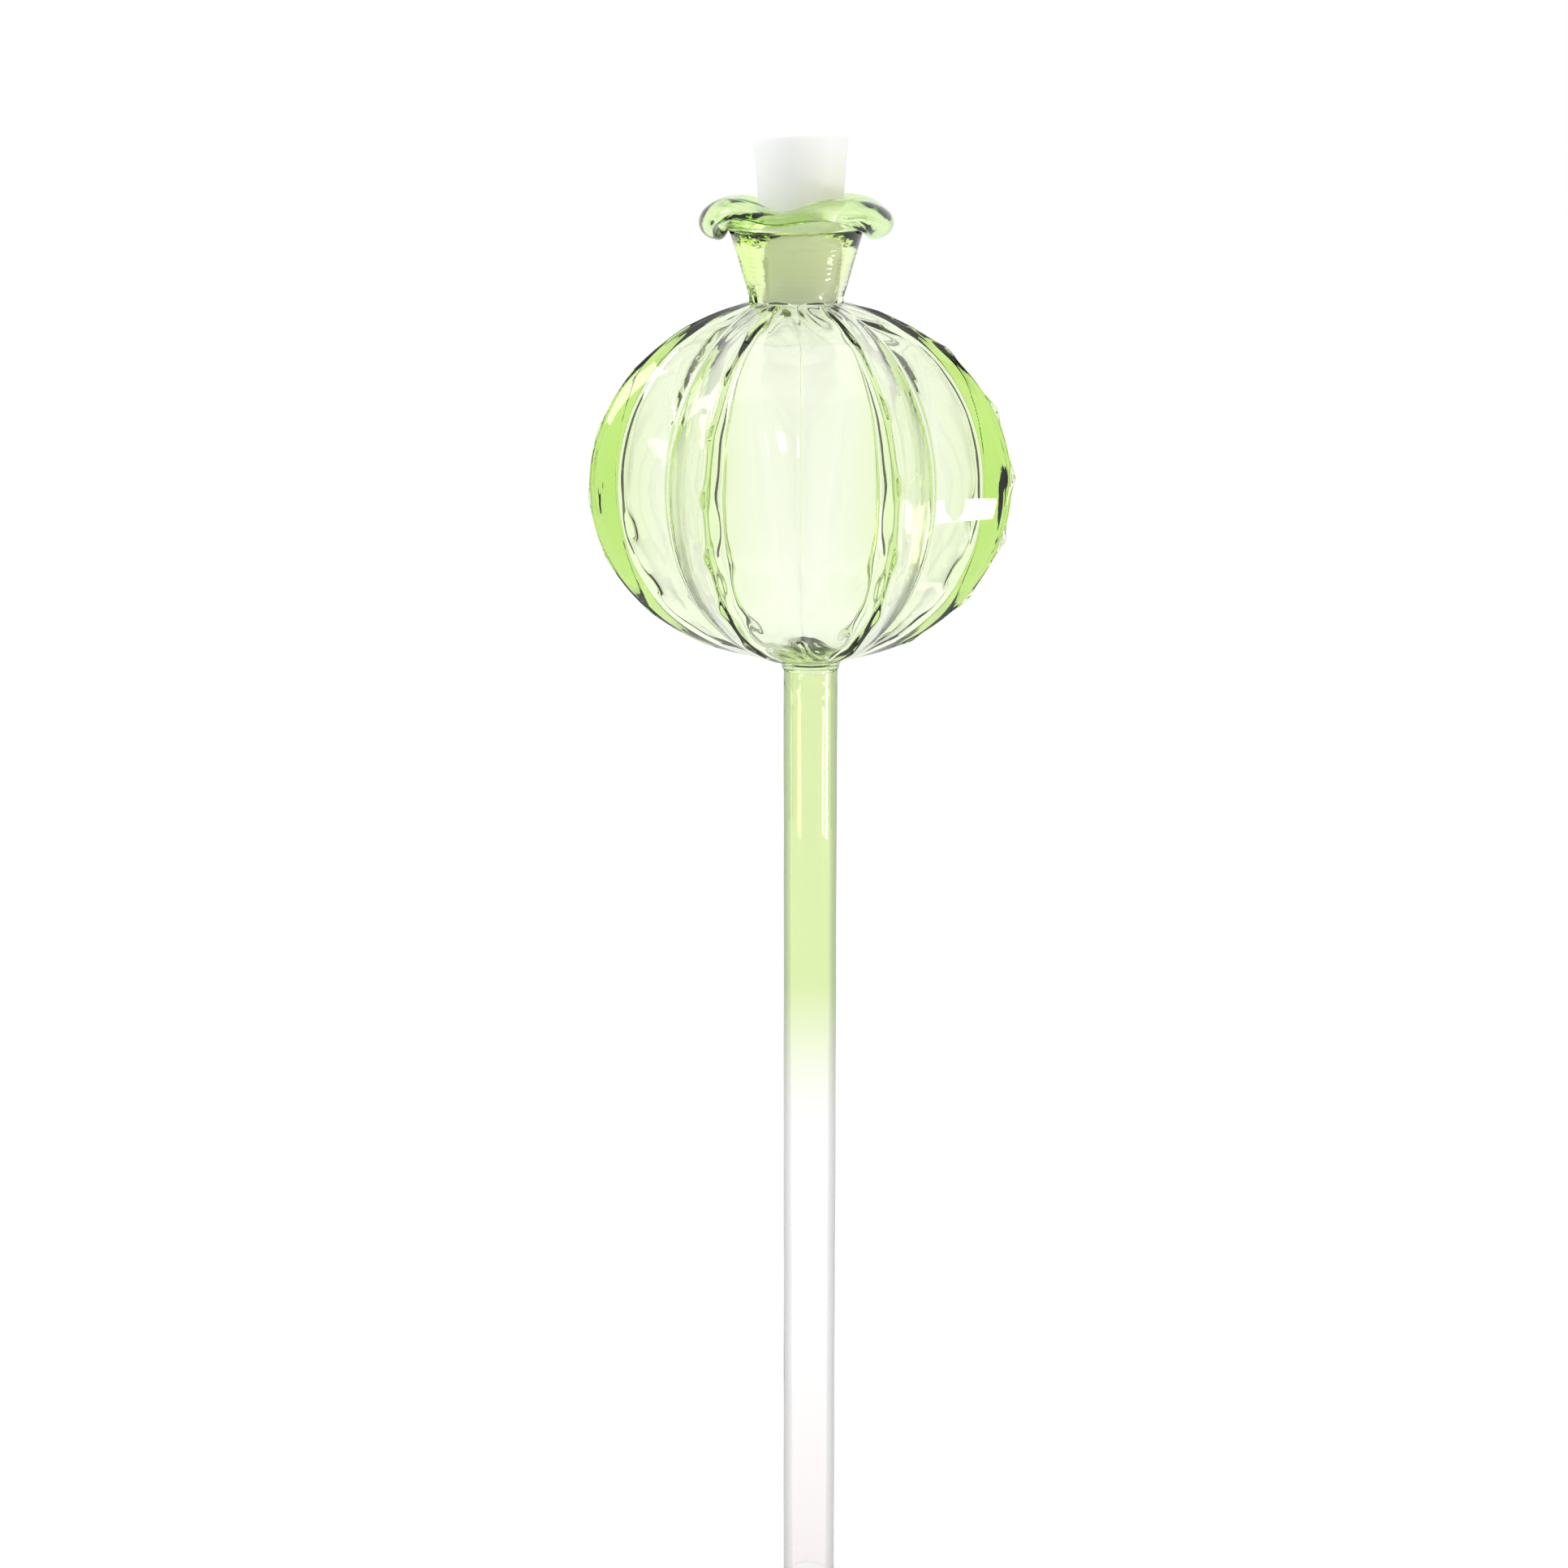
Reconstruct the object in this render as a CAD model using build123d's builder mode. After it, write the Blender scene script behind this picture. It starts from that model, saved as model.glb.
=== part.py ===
from build123d import *
import os
from math import acos, asin, atan2, cos, hypot, pi, radians, sin

# A hand-blown glass watering globe with its silicone stopper, in millimetres.
# The open tip of the stem is at Z = 0, the stem runs up the Z axis, and the front faces -Y.
# Angles round the object are counted from the front towards +X.
os.makedirs("parts", exist_ok=True)

# Every cut runs this far past the face that it leaves through.
overrun = 1.0

# The stem is a straight tube that is pushed into the soil, open at both ends.
stem_length = 163.2
stem_radius = 4.5
stem_bore_radius = 3.15
tip_rounding = 0.4

# The collar is the fused bead between the stem and the globe. A fine groove marks the weld.
collar_height = 2.0
collar_foot_radius = 4.75
groove_depth = 0.3
groove_height = 0.35

# The globe is an oblate bulb with sharp ribs, seven of them, and rounded hollows between.
rib_count = 7
globe_radius = 35.9
globe_half_height = 29.8
globe_foot_radius = 6.3
globe_axis_x = -1.3
globe_wall = 1.7
valley_depth = 8.3
rib_thickness = 5.3
crest_rounding = 0.9
core_rounding = 3.4
core_shoulder_share = 0.25
bump_height = 0.35
bumps_per_rib = 6
bump_stagger = 120.0
globe_levels = 27
hollow_levels = 13
rib_fade_power = 8
lean_power = 4
end_rib_share = 0.02
hollow_end_share = 0.5

# The neck is a funnel that stands on the globe, a little to the left of its axis.
neck_height = 11.4
neck_root_radius = 7.8
neck_mouth_radius = 10.9
neck_axis_x = -2.4
waist_height = 1.0
neck_bow = 0.2

# The stopper is a tapered silicone plug, wedged in the throat at the foot of the neck.
stopper_length = 26.3
stopper_top_radius = 7.6
stopper_tip_radius = 5.85
stopper_axis_x = -1.7
stopper_lift = 0.2
stopper_edge = 0.35
seat_clearance = 0.08
seat_height = 3.0

# The lip is a thick ruffled collar of glass, curled over outwards like a flower.
lip_thickness = 1.9
lip_radius = 15.5
lip_rise = 4.6
lip_edge_angle = -20.0
lobe_count = 4
lobe_height = 0.85
lobe_reach = 0.4
front_dip_angle = -11.0
dip_sharpness = 0.2
fold_steps = 8
edge_steps = 3
points_per_lobe = 8

# Radii and heights that follow from the sizes above.
valley_radius = globe_radius - valley_depth
rib_core_radius = globe_radius - rib_thickness
globe_foot_z = stem_length + collar_height
foot_latitude = acos(globe_foot_radius / globe_radius)
top_latitude = acos(neck_root_radius / globe_radius)
globe_middle_z = globe_foot_z + globe_half_height * sin(foot_latitude)
neck_foot_z = globe_middle_z + globe_half_height * sin(top_latitude)
lip_foot_z = neck_foot_z + neck_height
stopper_tip_z = neck_foot_z + stopper_lift
stopper_slope = (stopper_top_radius - stopper_tip_radius) / stopper_length
throat_radius = stopper_tip_radius + seat_clearance - stopper_slope * stopper_lift
mouth_bore_radius = neck_mouth_radius - lip_thickness


def round_point(radius, angle, centre_x, height=0.0):
    """A point on a circle about a vertical axis, at an angle in radians from the front."""
    return (centre_x + radius * sin(angle), -radius * cos(angle), height)


def rib_angle(rib):
    """The direction of one rib. The front valley looks straight ahead, along -Y."""
    return (rib + 0.5) * 2 * pi / rib_count


def nearness_to_end(latitude, low_end, high_end):
    """Grows from 0 at the widest level to 1 at the globe's foot or neck."""
    return abs(latitude / (high_end if latitude > 0 else low_end))


def rib_share(latitude, low_end, high_end):
    """How much of the rib's full depth is left at a level: all of it but near the two ends."""
    fade = nearness_to_end(latitude, low_end, high_end) ** rib_fade_power
    return 1 - (1 - end_rib_share) * fade


def level_axis_x(latitude, low_end, high_end, foot_x, top_x):
    """The level's centre: the globe's own axis, drawn over to its neighbours at the ends."""
    end_x = top_x if latitude > 0 else foot_x
    pull = nearness_to_end(latitude, low_end, high_end) ** lean_power
    return globe_axis_x + (end_x - globe_axis_x) * pull


def bump(latitude, rib):
    """The small outward swellings along a rib's crest, staggered from one rib to the next."""
    phase = 2 * bumps_per_rib * latitude + rib * radians(bump_stagger)
    return bump_height * cos(phase) * cos(latitude)


def rib_points(rib, crest, valley, shoulder_turn, shoulder_radius, centre_x):
    """Shoulder, crest and shoulder of one rib, the valley after it and the next shoulder."""
    here, after = rib_angle(rib), rib_angle(rib + 1)
    return (
        round_point(shoulder_radius[rib], here - shoulder_turn, centre_x)[:2],
        round_point(crest[rib], here, centre_x)[:2],
        round_point(shoulder_radius[rib], here + shoulder_turn, centre_x)[:2],
        round_point(valley, (here + after) / 2, centre_x)[:2],
        round_point(shoulder_radius[(rib + 1) % rib_count], after - shoulder_turn, centre_x)[:2],
    )


# Stem: a plain tube with a fire-polished tip.
with BuildPart() as stem_tube:
    with BuildSketch():
        Circle(stem_radius)
        Circle(stem_bore_radius, mode=Mode.SUBTRACT)
    extrude(amount=stem_length)
    fillet(stem_tube.faces().sort_by(Axis.Z)[0].edges(), radius=tip_rounding)
stem_tube.part.label = "stem_tube"
export_step(stem_tube.part, "parts/stem_tube.step")

# Weld collar: a short flare from the stem's width out to the globe's foot, with the weld groove.
with BuildPart() as weld_collar:
    with BuildSketch(Plane.XZ):
        with BuildLine():
            stem_edge = (stem_radius, stem_length)
            groove = (stem_radius - groove_depth, stem_length + groove_height / 2)
            flare_foot = (collar_foot_radius, stem_length + groove_height)
            flare_top = (globe_foot_radius, globe_foot_z)
            Line((stem_bore_radius, globe_foot_z), (stem_bore_radius, stem_length))
            Line((stem_bore_radius, stem_length), stem_edge)
            Polyline(stem_edge, groove, flare_foot)
            TangentArc(flare_foot, flare_top, tangent=(0, 1))
            Line(flare_top, (stem_bore_radius, globe_foot_z))
        make_face()
    revolve(axis=Axis.Z)
weld_collar.part.label = "weld_collar"
export_step(weld_collar.part, "parts/weld_collar.step")

# Globe, outside: level sections from the foot to the neck, each a ring of arcs, one for each
# rib's rounded crest and one for each valley.
with BuildPart() as ribbed_globe:
    for level in range(globe_levels):
        latitude = -foot_latitude + (foot_latitude + top_latitude) * level / (globe_levels - 1)
        ribs_left = rib_share(latitude, foot_latitude, top_latitude)
        centre_x = level_axis_x(latitude, foot_latitude, top_latitude, 0, neck_axis_x)
        round_radius = globe_radius * cos(latitude)
        crest = [round_radius + bump(latitude, rib) * ribs_left for rib in range(rib_count)]
        rib_depth = valley_depth * cos(latitude) * ribs_left
        shoulder_drop = crest_rounding / 2 * cos(latitude) * ribs_left
        shoulder_turn = asin(crest_rounding / globe_radius)
        shoulders = [radius - shoulder_drop for radius in crest]
        with BuildSketch(Plane.XY.offset(globe_middle_z + globe_half_height * sin(latitude))):
            with BuildLine():
                for rib in range(rib_count):
                    points = rib_points(
                        rib, crest, round_radius - rib_depth, shoulder_turn, shoulders, centre_x
                    )
                    ThreePointArc(*points[:3])
                    ThreePointArc(*points[2:])
            make_face()
    loft()

    # The hollow follows the ribs more softly than the outside, so each rib is thick glass.
    hollow_half_height = globe_half_height - globe_wall
    low_end = acos(stem_bore_radius * hollow_end_share / rib_core_radius)
    high_end = acos(throat_radius * hollow_end_share / rib_core_radius)
    core_turn = asin(core_rounding / rib_core_radius)
    for level in range(hollow_levels):
        latitude = -low_end + (low_end + high_end) * level / (hollow_levels - 1)
        ribs_left = rib_share(latitude, low_end, high_end)
        centre_x = level_axis_x(latitude, low_end, high_end, 0, stopper_axis_x)
        round_radius = rib_core_radius * cos(latitude)
        core_depth = (rib_core_radius - valley_radius + globe_wall) * cos(latitude) * ribs_left
        crest = [round_radius] * rib_count
        shoulders = [round_radius - core_depth * core_shoulder_share] * rib_count
        with BuildSketch(Plane.XY.offset(globe_middle_z + hollow_half_height * sin(latitude))):
            with BuildLine():
                for rib in range(rib_count):
                    points = rib_points(
                        rib, crest, round_radius - core_depth, core_turn, shoulders, centre_x
                    )
                    ThreePointArc(*points[:3])
                    ThreePointArc(*points[2:])
            make_face()
    loft(mode=Mode.SUBTRACT)

    # The way in under the stopper, and the way out into the stem.
    hollow_top_z = globe_middle_z + hollow_half_height * sin(high_end)
    hollow_foot_z = globe_middle_z - hollow_half_height * sin(low_end)
    with BuildSketch(Plane.XY.offset(hollow_top_z - overrun)):
        with Locations((stopper_axis_x, 0)):
            Circle(throat_radius)
    extrude(amount=neck_foot_z - hollow_top_z + 2 * overrun, mode=Mode.SUBTRACT)
    with BuildSketch(Plane.XY.offset(globe_foot_z - overrun)):
        Circle(stem_bore_radius)
    extrude(amount=hollow_foot_z - globe_foot_z + 2 * overrun, mode=Mode.SUBTRACT)
ribbed_globe.part.label = "ribbed_globe"
export_step(ribbed_globe.part, "parts/ribbed_globe.step")

# Neck: a funnel with a short upright waist. Its throat is a cone that fits the stopper's taper,
# and above the seat it opens towards the mouth. Its bore stands on the stopper's own axis.
neck_plane = Plane((neck_axis_x, 0, neck_foot_z), x_dir=(1, 0, 0), z_dir=(0, -1, 0))
throat_plane = Plane((stopper_axis_x, 0, neck_foot_z), x_dir=(1, 0, 0), z_dir=(0, -1, 0))
with BuildPart() as neck_funnel:
    with BuildSketch(neck_plane):
        with BuildLine():
            root = (neck_root_radius, 0)
            waist = (neck_root_radius, waist_height)
            mouth = (neck_mouth_radius, neck_height)
            Polyline((0, neck_height), (0, 0), root, waist)
            SagittaArc(waist, mouth, neck_bow)
            Line(mouth, (0, neck_height))
        make_face()
    revolve(axis=Axis(neck_plane.origin, (0, 0, 1)))
    with BuildSketch(throat_plane):
        with BuildLine():
            Polyline(
                (0, -overrun),
                (throat_radius - stopper_slope * overrun, -overrun),
                (throat_radius + stopper_slope * seat_height, seat_height),
                (mouth_bore_radius, neck_height),
                (mouth_bore_radius, neck_height + overrun),
                (0, neck_height + overrun),
                close=True,
            )
        make_face()
    revolve(axis=Axis(throat_plane.origin, (0, 0, 1)), mode=Mode.SUBTRACT)
neck_funnel.part.label = "neck_funnel"
export_step(neck_funnel.part, "parts/neck_funnel.step")

# Lip: the middle of its glass rises from the neck and turns over along part of an ellipse, and
# the skin lies half the glass thickness to either side. Rings run round the lip through the
# points of that profile, and the lobes lift and widen them more the further they are up.
half_thickness = lip_thickness / 2
fold_inner_radius = neck_mouth_radius - half_thickness
fold_reach = (lip_radius - half_thickness - fold_inner_radius) / 2
fold_radius = fold_inner_radius + fold_reach
fold_rise = (lip_rise - half_thickness) / 2
edge_angle = radians(lip_edge_angle)
lobe_lean = lobe_count * radians(front_dip_angle) / cos(radians(front_dip_angle))


def lobe_wave(angle):
    """Highest on the lobes and lowest in the sharper dips between them. Two dips face each
    other across the front dip's side of the lip, and the other two lie at its sides."""
    phase = lobe_count * angle - lobe_lean * cos(angle) + pi
    return cos(phase) - dip_sharpness * cos(2 * phase)


def lift_share(turn):
    """How far the lobes move the glass at one angle of the fold: fully from its top onwards."""
    progress = (pi - turn + rise_turn) / (pi / 2 + rise_turn)
    return sin(pi / 2 * min(1, progress)) ** 2


def fold_skin(turn, offset):
    """Radius and height of the skin at one angle of the fold, at a distance from its middle."""
    out_r, out_z = cos(turn) / fold_reach, sin(turn) / fold_rise
    distance = offset / hypot(out_r, out_z)
    radius = fold_radius + fold_reach * cos(turn) + distance * out_r
    return radius, fold_rise + fold_rise * sin(turn) + distance * out_z


def edge_skin(step):
    """The rounded edge, which turns half round the end of the fold's middle."""
    out_r, out_z = cos(edge_angle) / fold_reach, sin(edge_angle) / fold_rise
    facing = atan2(out_z, out_r) - pi * step / (edge_steps + 1)
    radius = fold_radius + fold_reach * cos(edge_angle) + half_thickness * cos(facing)
    return radius, fold_rise + fold_rise * sin(edge_angle) + half_thickness * sin(facing)


rise_turn = fold_rise / fold_reach
turns = [pi + (edge_angle - pi) * step / fold_steps for step in range(fold_steps + 1)]
profile = [(mouth_bore_radius, 0, 0)]
profile += [(*fold_skin(turn, half_thickness), lift_share(turn)) for turn in turns]
profile += [(*edge_skin(step + 1), 1) for step in range(edge_steps)]
profile += [(*fold_skin(turn, -half_thickness), lift_share(turn)) for turn in reversed(turns)]
profile += [(neck_mouth_radius, 0, 0)]
rings = []
for number, (radius, height, lift) in enumerate(profile):
    inside = number <= fold_steps / 2
    centre_x = neck_axis_x + (stopper_axis_x - neck_axis_x) * (1 - lift) * inside
    steps = lobe_count * points_per_lobe
    points = []
    for angle in [2 * pi * step / steps for step in range(steps)]:
        wave = lift * lobe_wave(angle)
        ring_height = lip_foot_z + height + lobe_height * wave
        points.append(round_point(radius + lobe_reach * wave, angle, centre_x, ring_height))
    with BuildLine() as ring:
        Spline(*points, periodic=True)
    rings.append(ring.wire())
with BuildPart() as ruffled_lip:
    skin = Shell.make_loft(rings, ruled=True)
    foot = Face(rings[-1], [rings[0]])
    add(Solid(Shell([*skin.faces(), foot])))
ruffled_lip.part.label = "ruffled_lip"
export_step(ruffled_lip.part, "parts/ruffled_lip.step")

# Stopper: a plain tapered plug with softly rounded ends.
stopper_plane = Plane((stopper_axis_x, 0, stopper_tip_z), x_dir=(1, 0, 0), z_dir=(0, -1, 0))
with BuildPart() as stopper:
    with BuildSketch(stopper_plane):
        with BuildLine():
            Polyline(
                (0, 0),
                (stopper_tip_radius, 0),
                (stopper_top_radius, stopper_length),
                (0, stopper_length),
                close=True,
            )
        make_face()
    revolve(axis=Axis(stopper_plane.origin, (0, 0, 1)))
    fillet(stopper.edges().filter_by(GeomType.CIRCLE), radius=stopper_edge)
stopper.part.label = "stopper"
export_step(stopper.part, "parts/stopper.step")

for name, piece in {
    "stem_tube": stem_tube,
    "weld_collar": weld_collar,
    "ribbed_globe": ribbed_globe,
    "neck_funnel": neck_funnel,
    "ruffled_lip": ruffled_lip,
    "stopper": stopper,
}.items():
    box = piece.part.bounding_box()
    print(name, "volume", round(piece.part.volume, 1), "from", box.min, "to", box.max)
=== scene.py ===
import math

import bpy
import numpy as np
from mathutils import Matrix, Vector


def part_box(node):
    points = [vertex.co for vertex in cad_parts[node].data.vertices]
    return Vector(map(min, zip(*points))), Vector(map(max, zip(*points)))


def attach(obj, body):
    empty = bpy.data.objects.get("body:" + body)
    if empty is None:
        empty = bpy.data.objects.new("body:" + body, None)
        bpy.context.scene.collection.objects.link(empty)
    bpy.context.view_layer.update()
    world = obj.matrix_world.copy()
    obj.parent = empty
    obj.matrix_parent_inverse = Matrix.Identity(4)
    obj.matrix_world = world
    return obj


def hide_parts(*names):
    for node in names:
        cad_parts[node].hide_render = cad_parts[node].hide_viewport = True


# Looks of a hand-blown glass watering globe with its silicone stopper.
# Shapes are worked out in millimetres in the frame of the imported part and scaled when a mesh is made.
# Angles round the object are counted from the front, which faces -Y, towards +X.
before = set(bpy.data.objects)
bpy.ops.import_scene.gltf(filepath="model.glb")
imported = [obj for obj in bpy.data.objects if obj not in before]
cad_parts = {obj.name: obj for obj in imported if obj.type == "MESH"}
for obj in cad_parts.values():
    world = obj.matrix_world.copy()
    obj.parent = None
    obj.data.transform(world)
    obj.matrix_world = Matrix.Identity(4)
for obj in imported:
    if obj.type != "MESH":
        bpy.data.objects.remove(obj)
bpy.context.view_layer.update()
print("frame loaded")
millimetre = 0.001
seam = 0.02  # hairline between two pieces of glass that are fused

# radii and a thickness at which one piece of glass carries on from another
boreRadius = 3.15
footRadius = 6.3
rootRadius = 7.8
throatRadius = 5.92
mouthGlass = 1.9


def nodeBox(name):
    # lowest and highest corner of a CAD node in millimetres
    low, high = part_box(name)
    return np.array(low) / millimetre, np.array(high) / millimetre


stemLow, stemHigh = nodeBox("stem_tube")
globeLow, globeHigh = nodeBox("ribbed_globe")
neckLow, neckHigh = nodeBox("neck_funnel")
plugLow, plugHigh = nodeBox("stopper")
stemRadius = stemHigh[0]
weldZ, footZ, neckZ, lipZ = stemHigh[2], globeLow[2], neckLow[2], neckHigh[2]
neckX = (neckLow[0] + neckHigh[0]) / 2
mouthRadius = (neckHigh[0] - neckLow[0]) / 2
plugX = (plugLow[0] + plugHigh[0]) / 2


def ringPoints(radius, angle, centreX, height):
    # point = centre + radius (sin angle, -cos angle), at its height; arrays of columns by rows
    x = centreX + radius * np.sin(angle)
    y = -radius * np.cos(angle)
    return np.stack(np.broadcast_arrays(x, y, height), axis=-1)


def skinMesh(name, points, body, replaced, sharpAngle=50):
    # columns close round the axis and rows close round the wall's section, so the skin has no border
    columns, rows = points.shape[:2]
    index = np.arange(columns * rows).reshape(columns, rows)
    after, above = np.roll(index, -1, axis=0), np.roll(index, -1, axis=1)
    afterAbove = np.roll(after, -1, axis=1)
    quads = np.stack([index, after, afterAbove, above], axis=-1).reshape(-1, 4)
    flat = points.reshape(-1, 3) * millimetre
    a, b, c, d = (flat[quads[:, corner]] for corner in range(4))
    volume = (a * (np.cross(b, c) + np.cross(c, d))).sum()
    if volume < 0:
        quads = quads[:, ::-1]  # so that every face points outwards
    mesh = bpy.data.meshes.new(name)
    mesh.from_pydata(flat.tolist(), [], quads.tolist())
    mesh.polygons.foreach_set("use_smooth", np.ones(len(quads), bool))
    mesh.update()
    mesh.set_sharp_from_angle(angle=math.radians(sharpAngle))
    piece = bpy.data.objects.new(name, mesh)
    bpy.context.scene.collection.objects.link(piece)
    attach(piece, body)
    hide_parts(replaced)
    return piece


def evenAngles(columns):
    return np.linspace(0, 2 * math.pi, columns, endpoint=False)[:, None]


def smoothStep(value, low, high):
    # 0 below low, 1 above high, with level ends
    share = np.clip((value - low) / (high - low), 0, 1)
    return share * share * (3 - 2 * share)


globe = {
    "ribs": 7,
    "radius": 34.5,  # at the foot of the beads that run along each crest
    "halfHeight": 29.8,
    "axisX": -1.75,
    "fullRadius": 35.9,  # sets how steeply the globe closes in to foot and neck
    "valleyDepth": 7.6,
    "crestPower": 1.5,  # higher makes the crests thinner and the valleys rounder
    "crestRound": 1.1,
    "hollowCrest": 29.3,  # the hollow is only gently lobed, so each rib is solid glass
    "hollowValley": 25.6,
    "thinning": 2.6,  # how much nearer the hollow comes to the crests towards foot and neck
    "hollowHeight": 28.1,
    "boreBlend": 5,  # higher makes a sharper corner between the hollow and its outlet and throat
    "fadePower": 10,  # how suddenly ribs and beads end at foot and neck
    "leanPower": 4,  # how late the globe's axis bends over to the stem's and the neck's
    "topRibShare": 0.3,
    "ridgeWidths": [0.42, 0.7, 0.42, 0.42, 0.42, 0.42, 0.42],
    "ridgeHeight": 0.4,
    # beads pinched into each crest, from the front right rib on round to the front left one
    "beadHeights": [0.35, 0.7, 0.2, 0.1, 0.2, 0.2, 0.4],
    "beadPitches": [0.4, 0.38, 0.36, 0.42, 0.37, 0.35, 0.34],
    "beadPlaces": [0.12, 0.07, 0.2, 0.0, 0.15, 0.3, 0.05],
    "beadSways": [0.28, 0.2, 0.3, 0.3, 0.3, 0.1, -0.5],
    "beadSkew": 0.5,
    "beadDrift": 0.4,
    "driftPerLatitude": 2.7,
    "driftPerPlace": 9,
    "swayMiddle": 0.4,
    "swayPower": 4,
    # ripples in the hollow's wall beside each crest; places and widths are shares of the way to the valley
    "hollowRound": 0.006,
    "rippleDepth": 0.22,
    "ripplePlace": 0.14,
    "rippleWidth": 0.09,
    "rippleFrom": -0.3,  # latitudes below the middle, in radians, from where to where they grow
    "rippleTo": 0.4,
    # knots in the glass near foot and neck, inside
    "knotDepth": 0.75,
    "knotsAround": 9,
    "knotsAlong": 16,
    "knotSlant": 7,
    "knotSwing": 3,
    "swingsAround": 2,
    "knotBend": 2,
    "bendsAround": 5,
    "knotMiddle": -0.05,
    "knotFrom": 0.85,
    "knotTo": 1.1,
    "columnsPerRib": 54,
    "crowding": 1.6,  # how much the columns crowd together at the crests
    "outerRows": 170,
    "innerRows": 80,
}


def ribColumns(shape):
    # each column's angle, its distance from the nearest crest as a share of the way to the valley,
    # and its rib
    ribs, count = shape["ribs"], shape["columnsPerRib"]
    step = np.linspace(-1, 1, count, endpoint=False)
    phase = np.tile(np.sign(step) * np.abs(step) ** shape["crowding"] / 2, ribs)
    rib = np.repeat(np.arange(ribs), count)
    angle = (rib + 0.5 + phase) * 2 * math.pi / ribs
    return angle[:, None], np.abs(phase)[:, None] * 2, rib


def crestWave(distance, power, rounding):
    # 1 on a crest and 0 in a valley: a power of the share left to the valley, rounded at the crest
    rounded = np.sqrt(distance ** 2 + rounding ** 2) - rounding
    return np.clip(1 - rounded, 0, 1) ** power


def makeGlobe(shape):
    # radius = valley + (crest - valley) * crest wave + ridge on an ellipse's latitudes, where the
    # ridge is a narrow bell over each crest that swells and sways from bead to bead
    angle, distance, rib = ribColumns(shape)
    halfHeight, full = shape["halfHeight"], shape["fullRadius"]
    lowEnd = math.acos(footRadius / full)
    highEnd = math.acos(rootRadius / full)
    middleZ = footZ + halfHeight * math.sin(lowEnd)
    latitude = np.linspace(-lowEnd, highEnd, shape["outerRows"])[None, :]
    nearEnd = np.abs(latitude / np.where(latitude > 0, highEnd, lowEnd))
    fade = nearEnd ** shape["fadePower"]
    ribsLeft = 1 - fade * np.where(latitude > 0, 1 - shape["topRibShare"], 1)
    endX = np.where(latitude > 0, neckX, 0)
    centreX = shape["axisX"] + (endX - shape["axisX"]) * nearEnd ** shape["leanPower"]
    perRib = ("ridgeWidths", "beadHeights", "beadPitches", "beadPlaces", "beadSways")
    width, height, pitch, place, sway = (np.array(shape[key])[rib][:, None] for key in perRib)
    swing = 2 * math.pi * (latitude - place) / pitch
    drift = np.sin(shape["driftPerLatitude"] * latitude + shape["driftPerPlace"] * place)
    bead = (1 + np.cos(swing + shape["beadSkew"] * np.sin(swing) + shape["beadDrift"] * drift)) / 2
    arc = math.pi * shape["radius"] / shape["ribs"]
    wave = crestWave(distance, shape["crestPower"], shape["crestRound"] / arc)
    crest = (shape["radius"] + (full - shape["radius"]) * fade) * np.cos(latitude)
    valley = crest - shape["valleyDepth"] * np.cos(latitude) * ribsLeft
    across = distance * arc * np.cos(latitude) / width
    ridge = (shape["ridgeHeight"] + height * bead ** 2) * np.exp(-across ** 2) * (1 - fade)
    outerRadius = valley + (crest - valley) * wave + ridge
    swayed = sway * (bead - shape["swayMiddle"]) * wave ** shape["swayPower"] * (1 - fade)
    turned = angle + swayed / shape["radius"]
    outerZ = middleZ + halfHeight * np.sin(latitude)
    outerZ = np.clip(outerZ, footZ + seam / 2, neckZ - seam / 2)
    outer = ringPoints(outerRadius, turned, centreX, outerZ)

    # the hollow: a sine from crest to valley, with ripples beside the crests in the lower half and
    # knots towards its ends, where waves round it and along it cross and bend each other
    innerLatitude = np.linspace(-math.pi / 2, math.pi / 2, shape["innerRows"])[None, :]
    nearEnd = np.abs(innerLatitude) / (math.pi / 2)
    endX = np.where(innerLatitude > 0, plugX, 0)
    innerX = shape["axisX"] + (endX - shape["axisX"]) * nearEnd ** shape["leanPower"]
    hollowCrest = shape["hollowCrest"] + shape["thinning"] * np.sin(innerLatitude) ** 2
    fromCrest = np.sqrt(distance ** 2 + shape["hollowRound"])
    drop = (hollowCrest - shape["hollowValley"]) * np.sin(math.pi / 2 * fromCrest)
    ripple = np.cos(2 * math.pi * (innerLatitude - place) / pitch)
    ripple = ripple * np.exp(-((distance - shape["ripplePlace"]) / shape["rippleWidth"]) ** 2)
    lowDown = smoothStep(-innerLatitude, shape["rippleFrom"], shape["rippleTo"])
    ripple = ripple * shape["rippleDepth"] * lowDown
    swung = shape["knotsAround"] * angle + shape["knotSwing"] * np.sin(shape["swingsAround"] * angle)
    bent = shape["knotsAlong"] * innerLatitude + shape["knotBend"] * np.sin(shape["bendsAround"] * angle)
    knots = np.sin(swung + shape["knotSlant"] * innerLatitude) * np.sin(bent)
    toEnd = smoothStep(np.abs(innerLatitude - shape["knotMiddle"]), shape["knotFrom"], shape["knotTo"])
    ripple = ripple + shape["knotDepth"] * knots * toEnd
    lobed = (hollowCrest - drop * (1 - nearEnd ** shape["fadePower"]) + ripple) * np.cos(innerLatitude)
    bore = np.where(innerLatitude > 0, throatRadius, boreRadius)
    blend = shape["boreBlend"]
    innerRadius = (lobed ** blend + bore ** blend) ** (1 / blend)
    inner = ringPoints(innerRadius, angle, innerX, middleZ + shape["hollowHeight"] * np.sin(innerLatitude))
    foot = ringPoints(boreRadius, angle, 0, np.full((1, 1), footZ + seam / 2))
    top = ringPoints(throatRadius, angle, plugX, np.full((1, 1), neckZ - seam / 2))
    points = np.concatenate([outer, top, inner[:, ::-1], foot], axis=1)
    return skinMesh("blownGlobe", points, "vessel", "ribbed_globe")


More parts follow.
